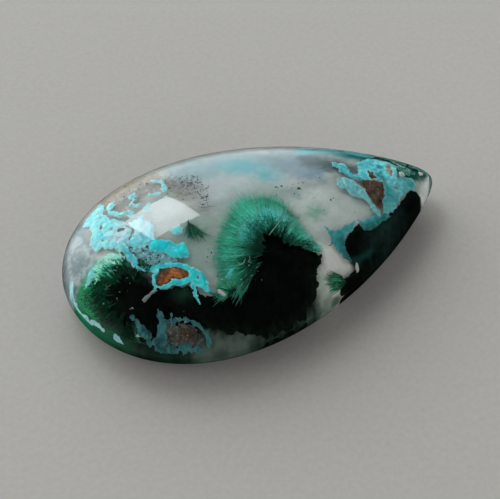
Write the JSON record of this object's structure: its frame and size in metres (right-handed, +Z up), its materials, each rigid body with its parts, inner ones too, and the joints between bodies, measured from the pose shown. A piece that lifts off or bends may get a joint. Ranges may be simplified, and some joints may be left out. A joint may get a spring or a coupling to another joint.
{
  "type": "chrysocolla in quartz cabochon",
  "caption": "Pear-shaped polished stone with a low dome and a flat back: clear quartz grown around plumes of malachite and crusts of chrysocolla.",
  "frame": {"origin": "middle of the stone's plan box, on the surface that its flat back rests on", "axes": "+X along the length towards the pointed end, +Y across the width, +Z up through the dome"},
  "size_m": [0.032, 0.0194, 0.0062],
  "materials": {
    "quartz": "clear to milky, high polish",
    "chalcedony": "tan to grey, cloudy",
    "malachite": "fibrous, silky green to near black",
    "chrysocolla": "matt turquoise crust",
    "iron_stain": "earthy orange brown",
    "black_oxide": "dull black specks"
  },
  "bodies": {
    "root": {"cabochon": "quartz"}
  },
  "joints": []
}
